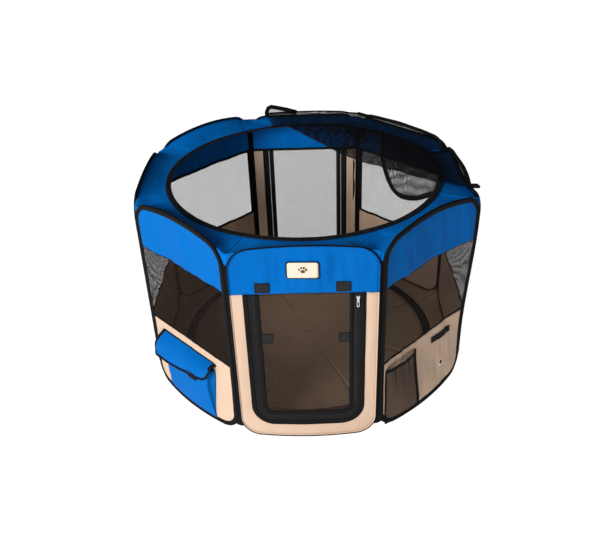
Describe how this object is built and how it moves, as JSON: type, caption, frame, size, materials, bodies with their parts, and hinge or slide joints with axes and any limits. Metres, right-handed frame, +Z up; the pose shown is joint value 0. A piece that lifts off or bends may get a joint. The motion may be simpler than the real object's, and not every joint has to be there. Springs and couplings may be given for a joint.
{
  "type": "pet playpen",
  "caption": "Folding eight-sided fabric pet playpen with mesh windows, zipped doors, side pockets, an open round top with a folded-back mesh cover and a zip-out floor.",
  "frame": {"origin": "middle of the floor's underside, on the ground", "axes": "+Z up, the front wall with the slider faces -Y, +X to the right seen from the front"},
  "size_m": [0.9422, 0.929, 0.5895],
  "materials": {
    "wire": "satin sprung steel",
    "binding": "woven polyester tape",
    "blue_oxford": "plain weave Oxford polyester",
    "beige_oxford": "plain weave Oxford polyester",
    "net": "knitted polyester mesh",
    "zip_tape": "woven tape with nylon teeth",
    "hook_loop": "hook and loop tape",
    "zip_metal": "plated zinc",
    "grommet_metal": "rolled eyelet",
    "label": "printed patch with a dark edge",
    "floor_cloth": "coated Oxford polyester"
  },
  "bodies": {
    "front_wall": {"wire_front": "wire", "sleeve_front": "binding", "upper_band_front": "blue_oxford", "door_surround_front": "beige_oxford", "door_zip_front": "zip_tape", "label_patch": "label", "hook_tab_band_left": "hook_loop", "hook_tab_band_right": "hook_loop", "roof_ring": "blue_oxford", "roof_zip": "zip_tape", "floor_border": "floor_cloth", "floor_zip": "zip_tape", "floor_panel": "floor_cloth"},
    "front_right_wall": {"wire_front_right": "wire", "sleeve_front_right": "binding", "upper_band_front_right": "blue_oxford", "window_front_right": "net", "lower_band_front_right": "beige_oxford", "bottle_pocket": "net", "webbing_strip": "hook_loop", "cable_grommet": "grommet_metal"},
    "right_wall": {"wire_right": "wire", "sleeve_right": "binding", "upper_band_right": "blue_oxford", "window_right": "net", "lower_band_right": "beige_oxford"},
    "back_right_wall": {"wire_back_right": "wire", "sleeve_back_right": "binding", "upper_band_back_right": "blue_oxford", "window_back_right": "net", "lower_band_back_right": "beige_oxford", "roof_cover": "net"},
    "back_wall": {"wire_back": "wire", "sleeve_back": "binding", "upper_band_back": "blue_oxford", "door_surround_back": "beige_oxford", "door_zip_back": "zip_tape"},
    "back_left_wall": {"wire_back_left": "wire", "sleeve_back_left": "binding", "upper_band_back_left": "blue_oxford", "window_back_left": "net", "lower_band_back_left": "beige_oxford"},
    "left_wall": {"wire_left": "wire", "sleeve_left": "binding", "upper_band_left": "blue_oxford", "window_left": "net", "lower_band_left": "beige_oxford"},
    "front_left_wall": {"wire_front_left": "wire", "sleeve_front_left": "binding", "upper_band_front_left": "blue_oxford", "window_front_left": "net", "lower_band_front_left": "beige_oxford", "cargo_pocket": "blue_oxford"},
    "front_door": {"door_flap_front": "net", "hook_tab_flap_left": "hook_loop", "hook_tab_flap_right": "hook_loop"},
    "back_door": {"door_flap_back": "net"},
    "cargo_flap": {"cargo_pocket_flap": "blue_oxford"},
    "slider": {"zip_slider": "zip_metal"},
    "slider_pull": {"zip_pull": "zip_metal"}
  },
  "joints": [
    {"name": "fold_front_right", "type": "hinge", "parent": "front_wall", "child": "front_right_wall", "pos_m": [0.19153, -0.4624, 0.2925], "axis": [0, 0, 1], "range_deg": [-115, 0], "deforming": ["roof_ring", "roof_zip", "floor_border", "floor_zip", "roof_cover", "floor_panel"]},
    {"name": "fold_right", "type": "hinge", "parent": "front_right_wall", "child": "right_wall", "pos_m": [0.455, -0.18847, 0.2925], "axis": [0, 0, -1], "range_deg": [-115, 0]},
    {"name": "fold_back_right", "type": "hinge", "parent": "right_wall", "child": "back_right_wall", "pos_m": [0.4624, 0.19153, 0.2925], "axis": [0, 0, 1], "range_deg": [-115, 0]},
    {"name": "fold_back", "type": "hinge", "parent": "back_right_wall", "child": "back_wall", "pos_m": [0.18847, 0.455, 0.2925], "axis": [0, 0, -1], "range_deg": [-115, 0]},
    {"name": "fold_front_left", "type": "hinge", "parent": "front_wall", "child": "front_left_wall", "pos_m": [-0.18847, -0.455, 0.2925], "axis": [0, 0, 1], "range_deg": [-115, 0]},
    {"name": "fold_left", "type": "hinge", "parent": "front_left_wall", "child": "left_wall", "pos_m": [-0.4624, -0.19153, 0.2925], "axis": [0, 0, -1], "range_deg": [-115, 0]},
    {"name": "fold_back_left", "type": "hinge", "parent": "left_wall", "child": "back_left_wall", "pos_m": [-0.455, 0.18847, 0.2925], "axis": [0, 0, 1], "range_deg": [-115, 0]},
    {"name": "front_door_lift", "type": "hinge", "parent": "front_wall", "child": "front_door", "pos_m": [0, -0.45975, 0.45908], "axis": [-1, 0, 0], "range_deg": [0, 110]},
    {"name": "back_door_lift", "type": "hinge", "parent": "back_wall", "child": "back_door", "pos_m": [0, 0.45975, 0.45908], "axis": [1, 0, 0], "range_deg": [0, 110]},
    {"name": "cargo_flap_lift", "type": "hinge", "parent": "front_left_wall", "child": "cargo_flap", "pos_m": [-0.3444, -0.30621, 0.1952], "axis": [-0.7071, 0.7071, 0], "range_deg": [0, 100]},
    {"name": "slider_run", "type": "slide", "parent": "front_wall", "child": "slider", "axis": [0, 0, -1], "range_m": [0, 0.33]},
    {"name": "pull_swing", "type": "hinge", "parent": "slider", "child": "slider_pull", "pos_m": [0.1322, -0.4633, 0.4458], "axis": [-1, 0, 0], "range_deg": [0, 140]}
  ],
  "couplings": [
    {"joint": "fold_right", "follows": "fold_front_right", "ratio": 1},
    {"joint": "fold_back_right", "follows": "fold_front_right", "ratio": 1},
    {"joint": "fold_back", "follows": "fold_front_right", "ratio": 1},
    {"joint": "fold_front_left", "follows": "fold_front_right", "ratio": 1},
    {"joint": "fold_left", "follows": "fold_front_right", "ratio": 1},
    {"joint": "fold_back_left", "follows": "fold_front_right", "ratio": 1}
  ]
}
